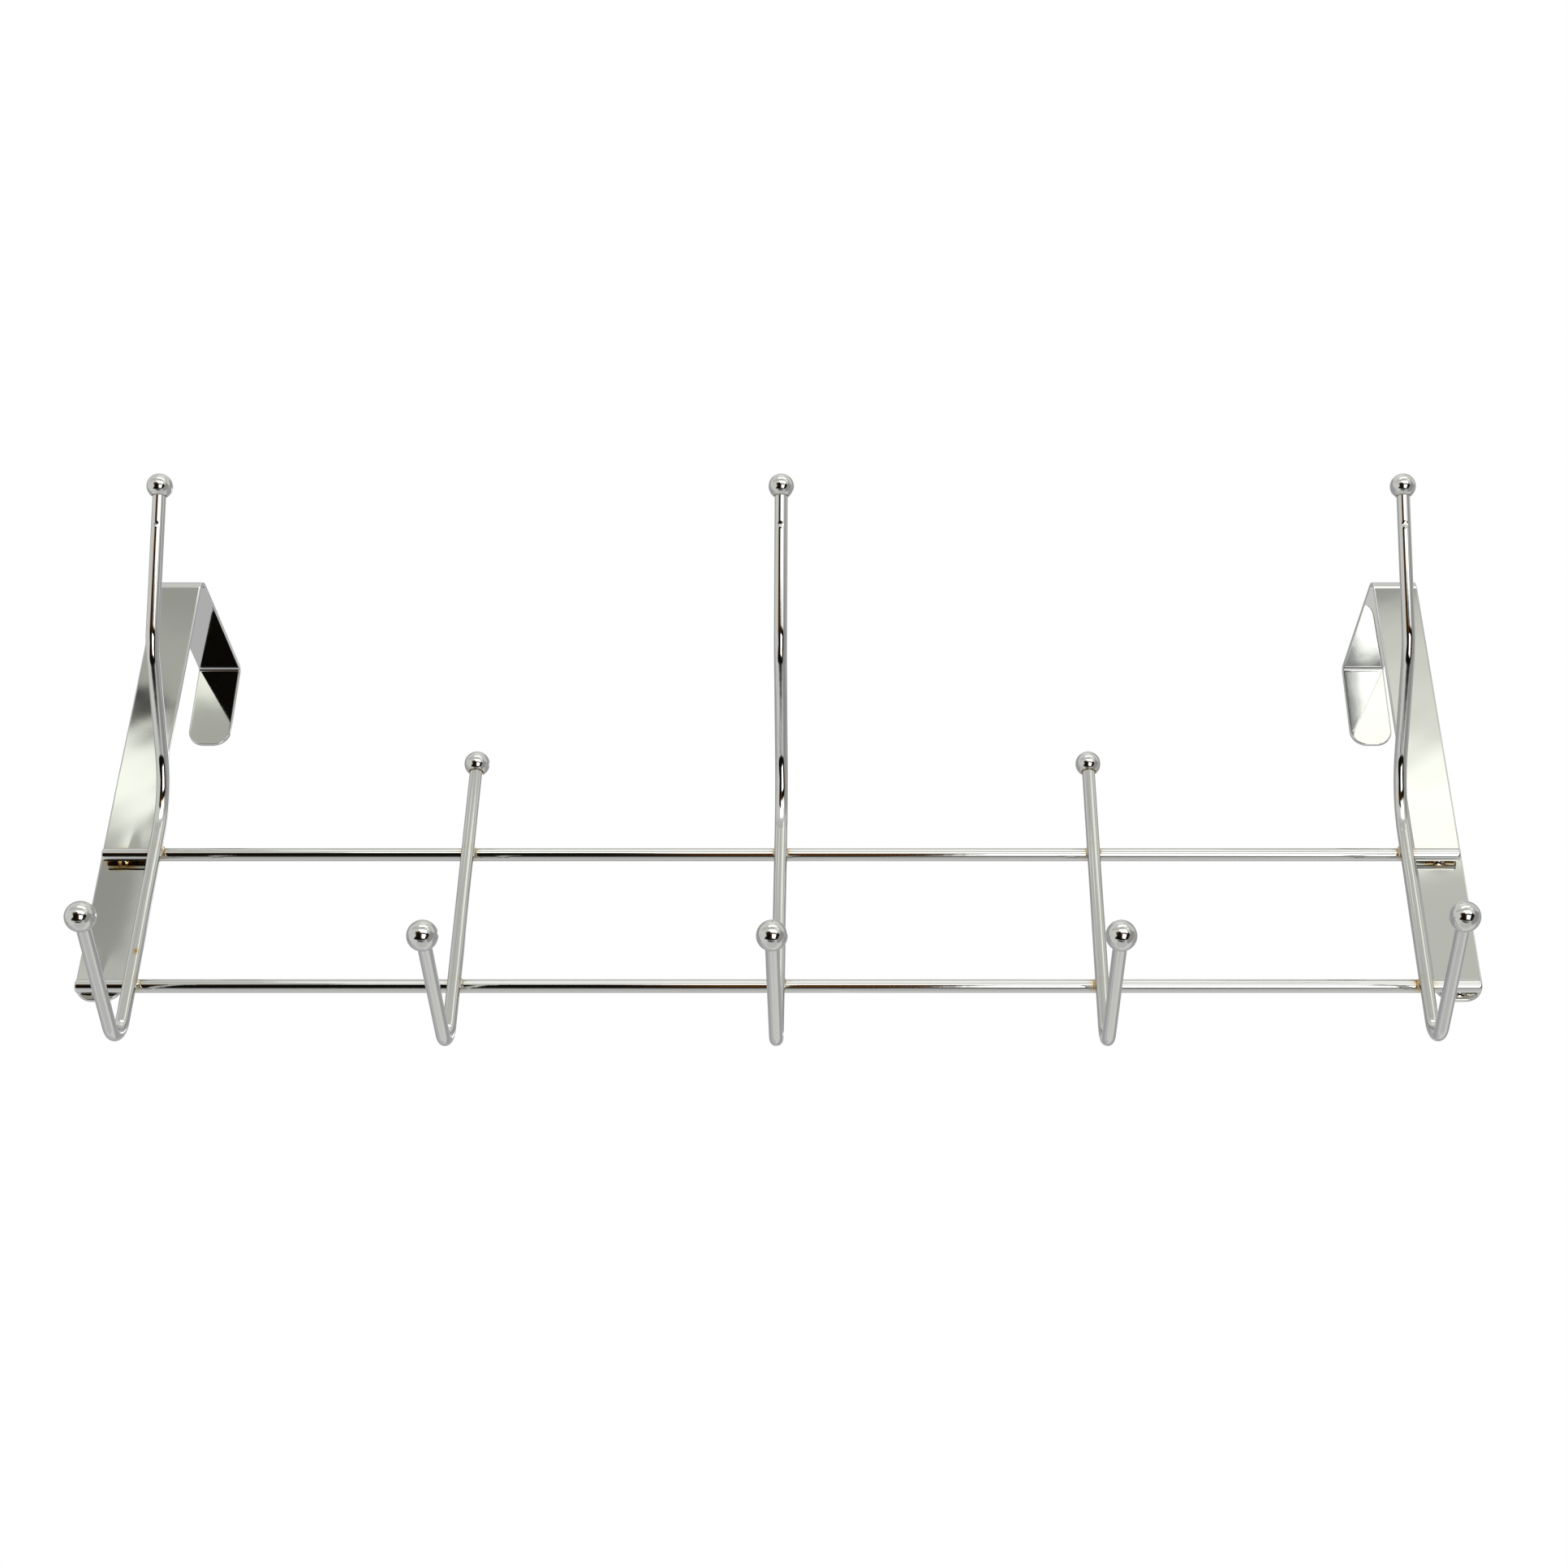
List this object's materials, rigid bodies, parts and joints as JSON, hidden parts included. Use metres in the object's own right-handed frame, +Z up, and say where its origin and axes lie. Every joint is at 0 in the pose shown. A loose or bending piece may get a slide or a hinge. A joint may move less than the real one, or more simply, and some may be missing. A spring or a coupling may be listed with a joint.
{
  "type": "over-door hook rack",
  "caption": "Chrome wire rack that hangs over a door on folded flat straps, with a row of ball-ended double hooks, tall and short, welded across an upper and a lower rail.",
  "frame": {"origin": "on the top front edge of the door, midway between the straps: back faces of the straps at Y = 0, underside of their shelves at Z = 0", "axes": "+X along the rails, to the right as seen from the room; +Y from the room into the door; +Z up"},
  "size_m": [0.3754, 0.1078, 0.1576],
  "materials": {
    "chrome_plate": "bright chrome plate on welded steel wire and strip"
  },
  "bodies": {
    "root": {"strap_left": "chrome_plate", "strap_right": "chrome_plate", "top_rail": "chrome_plate", "bottom_rail": "chrome_plate", "hook_left_end": "chrome_plate", "hook_left_inner": "chrome_plate", "hook_centre": "chrome_plate", "hook_right_inner": "chrome_plate", "hook_right_end": "chrome_plate", "upper_ball_left_end": "chrome_plate", "upper_ball_left_inner": "chrome_plate", "upper_ball_centre": "chrome_plate", "upper_ball_right_inner": "chrome_plate", "upper_ball_right_end": "chrome_plate", "lower_ball_left_end": "chrome_plate", "lower_ball_left_inner": "chrome_plate", "lower_ball_centre": "chrome_plate", "lower_ball_right_inner": "chrome_plate", "lower_ball_right_end": "chrome_plate"}
  },
  "joints": []
}
